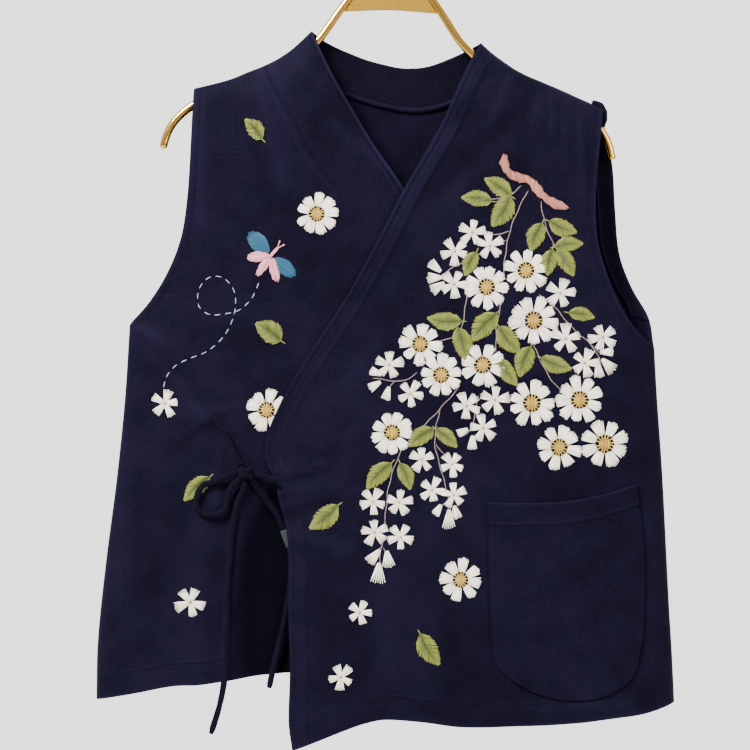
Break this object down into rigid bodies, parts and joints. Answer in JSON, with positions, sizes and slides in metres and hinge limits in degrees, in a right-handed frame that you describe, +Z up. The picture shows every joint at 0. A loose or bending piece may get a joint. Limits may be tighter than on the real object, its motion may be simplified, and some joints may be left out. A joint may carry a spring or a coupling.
{
  "type": "embroidered waistcoat on a hanger",
  "caption": "Sleeveless crossed-front waistcoat in dark cloth with flower embroidery, side tie and patch pocket, hanging flat and open at neck, armholes and hem on a metal hanger.",
  "frame": {"origin": "inside top of the hanger hook's bend, where it rests on a rail", "axes": "+Z up; the fronts face -Y and the back faces +Y; +X is towards the wearer's left, where the pocket is"},
  "size_m": [0.5374, 0.057, 0.7904],
  "materials": {
    "navy_cloth": "soft matte cotton and linen weave",
    "navy_facing": "soft matte cotton and linen weave",
    "navy_tie": "soft matte folded cloth",
    "white_tape": "smooth woven tape",
    "gold_metal": "polished gold-coloured metal"
  },
  "bodies": {
    "root": {"back": "navy_cloth", "front_left": "navy_cloth", "front_right": "navy_cloth", "pocket": "navy_cloth", "neck_facing": "navy_facing", "armhole_facing": "navy_facing", "knot": "navy_tie", "tie_a": "navy_tie", "tie_b": "navy_tie", "bow_loop": "navy_tie", "tail_1": "navy_tie", "tail_2": "navy_tie", "edge_tape": "white_tape", "hanger_rod": "gold_metal", "hanger_hook": "gold_metal", "hanger_plate": "gold_metal"}
  },
  "joints": []
}
